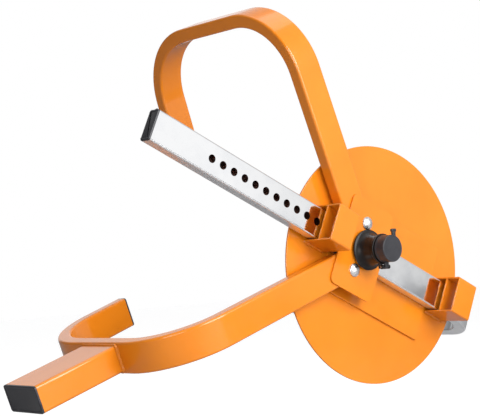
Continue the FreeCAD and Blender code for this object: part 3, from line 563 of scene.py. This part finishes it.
def weldBead(name, runs, radius=None, body="frame"):
    radius = radius or weld["radius"]
    line = bpy.data.curves.new(name, "CURVE")
    line.dimensions = "3D"
    line.bevel_depth = radius
    line.bevel_resolution = 2
    line.use_fill_caps = True
    for start, end in runs:
        start, end = Vector(start), Vector(end)
        count = max(4, round((end - start).length / weld["step"]) * 2)
        spline = line.splines.new("POLY")
        spline.points.add(count)
        for number, point in enumerate(spline.points):
            where = start.lerp(end, number / count)
            where += Vector([random.uniform(-1, 1) * weld["wander"] for axis in range(3)])
            point.co = (*where, 1)
            point.radius = 1.0 if number % 2 else weld["thin"]
            if number in (0, count):
                point.radius = weld["tip"]
    holder = bpy.data.objects.new(name + "Curve", line)
    bpy.context.scene.collection.objects.link(holder)
    bpy.context.view_layer.update()
    mesh = bpy.data.meshes.new_from_object(holder.evaluated_get(bpy.context.evaluated_depsgraph_get()))
    bpy.data.objects.remove(holder)
    bpy.data.curves.remove(line)
    shape = bmesh.new()
    shape.from_mesh(mesh)
    bpy.data.meshes.remove(mesh)
    return finished(shape, name, orange, body, clampTurn, 80)


guard = {"above": -0.0295, "below": 0.026, "near": (0.066, 0.106), "far": (-0.1975, -0.1575)}
for side in ("near", "far"):
    start, end = guard[side]
    weldBead(side + "_guard_weld", [((start, wall, weld["guardHeight"]), (end, wall, weld["guardHeight"]))
                                    for wall in (guard["above"], guard["below"])])
weldBead("lock_plate_front_weld", [((weld["plateAlong"], weld["plateFrom"], weld["plateHeight"]),
                                    (weld["plateAlong"], weld["plateTo"], weld["plateHeight"]))],
         weld["plateRadius"])
middle = legAlong * leg["start"] + Vector((0, 0, leg["height"]))
ends = [middle + legAcross * (wide * leg["wide"] / 2) + Vector((0, 0, deep * leg["deep"] / 2))
        for wide, deep in ((-1, -1), (1, -1), (1, 1), (-1, 1))]
weldBead("leg_weld", [(ends[number], ends[(number + 1) % 4]) for number in range(4)])
weldBead("leg_top_weld", [(ends[2], ends[3])], weld["legTopRadius"])
print("weld beads made")


# --- floor, light and camera

floor = {"height": -0.30, "size": 14.0, "tone": (0.36, 0.36, 0.365), "seen": 0.72}


def makeFloor():
    shape = bmesh.new()
    bmesh.ops.create_grid(shape, x_segments=1, y_segments=1, size=floor["size"] / 2)
    bmesh.ops.translate(shape, vec=(0, 0, floor["height"]), verts=shape.verts[:])
    mesh = bpy.data.meshes.new("floor")
    shape.to_mesh(mesh)
    shape.free()
    ground = bpy.data.objects.new("floor", mesh)
    bpy.context.scene.collection.objects.link(ground)
    material, tree, shader = newMaterial("paleFloor")
    shader.inputs["Base Color"].default_value = (*floor["tone"], 1)
    shader.inputs["Roughness"].default_value = 0.7
    rays = addNode(tree, "LightPath")
    tree.links.new(spread(tree, rays.outputs["Is Camera Ray"], 0.0, floor["seen"], 0, 1),
                   shader.inputs["Emission Strength"])
    shader.inputs["Emission Color"].default_value = (1, 1, 1, 1)
    mesh.materials.append(material)


# the studio's walls get brighter from left to right, and the ceiling is bright
sky = {"walls": [(0.0, 0.10), (0.40, 0.16), (0.52, 0.30), (0.60, 0.95), (0.815, 0.98), (0.87, 0.66),
                 (1.0, 0.5)],
       "ceiling": 0.6, "seen": 1.0, "ceilingStart": 0.35, "ceilingFull": 0.8}


def makeSky():
    world = bpy.data.worlds.new("studio")
    bpy.context.scene.world = world
    world.use_nodes = True
    tree = world.node_tree
    light = tree.nodes["Background"]
    coords = addNode(tree, "TexCoord")
    split = addNode(tree, "SeparateXYZ")
    tree.links.new(coords.outputs["Generated"], split.inputs["Vector"])
    side = spread(tree, split.outputs["X"], 0.0, 1.0, -1.0, 1.0)
    walls = ramp(tree, side, [(place, (tone,) * 3) for place, tone in sky["walls"]])
    raised = spread(tree, split.outputs["Z"], 0.0, 1.0, sky["ceilingStart"], sky["ceilingFull"])
    mix = addNode(tree, "Mix", data_type="RGBA")
    tree.links.new(raised, mix.inputs["Factor"])
    tree.links.new(walls, mix.inputs["A"])
    mix.inputs["B"].default_value = (sky["ceiling"],) * 3 + (1,)
    tree.links.new(mix.outputs["Result"], light.inputs["Color"])
    seen = addNode(tree, "Background")
    seen.inputs["Color"].default_value = (sky["seen"],) * 3 + (1,)
    rays = addNode(tree, "LightPath")
    choose = addNode(tree, "MixShader")
    tree.links.new(rays.outputs["Is Camera Ray"], choose.inputs["Fac"])
    tree.links.new(light.outputs["Background"], choose.inputs[1])
    tree.links.new(seen.outputs["Background"], choose.inputs[2])
    tree.links.new(choose.outputs["Shader"], tree.nodes["World Output"].inputs["Surface"])


softboxes = {"keyLight": ((0.05, -2.0, 0.75), 1.6, 70), "topLight": ((0.1, 0.1, 2.2), 1.6, 10),
             "fillLight": ((-1.9, -1.2, -0.15), 1.2, 28)}


def makeLights():
    for name, (place, size, power) in softboxes.items():
        lamp = bpy.data.lights.new(name, "AREA")
        lamp.shape = "SQUARE"
        lamp.size = size
        lamp.energy = power
        holder = bpy.data.objects.new(name, lamp)
        holder.location = place
        holder.rotation_euler = (-Vector(place)).to_track_quat("-Z", "Y").to_euler()
        bpy.context.scene.collection.objects.link(holder)


look = {"aim": (-0.2192, 0, 0.0717), "distance": 1.7851, "heading": 39.547, "pitch": 2.437, "roll": 3.589,
        "lens": 98.83}


def makeCamera():
    heading, pitch = math.radians(look["heading"]), math.radians(look["pitch"])
    level = math.cos(pitch)
    ahead = Vector((math.sin(heading) * level, math.cos(heading) * level, math.sin(pitch)))
    lens = bpy.data.cameras.new("camera")
    lens.lens = look["lens"]
    lens.sensor_width = 36
    lens.clip_start, lens.clip_end = 0.05, 50
    holder = bpy.data.objects.new("camera", lens)
    bpy.context.scene.collection.objects.link(holder)
    upright = ahead.to_track_quat("-Z", "Y").to_matrix()
    tilt = Matrix.Rotation(-math.radians(look["roll"]), 3, "Z")
    place = Vector(look["aim"]) - ahead * look["distance"]
    holder.matrix_world = Matrix.Translation(place) @ (upright @ tilt).to_4x4()
    bpy.context.scene.camera = holder


makeFloor()
makeSky()
makeLights()
makeCamera()
bpy.context.scene.view_settings.view_transform = "Standard"
print("floor, light and camera made")

bpy.context.view_layer.update()
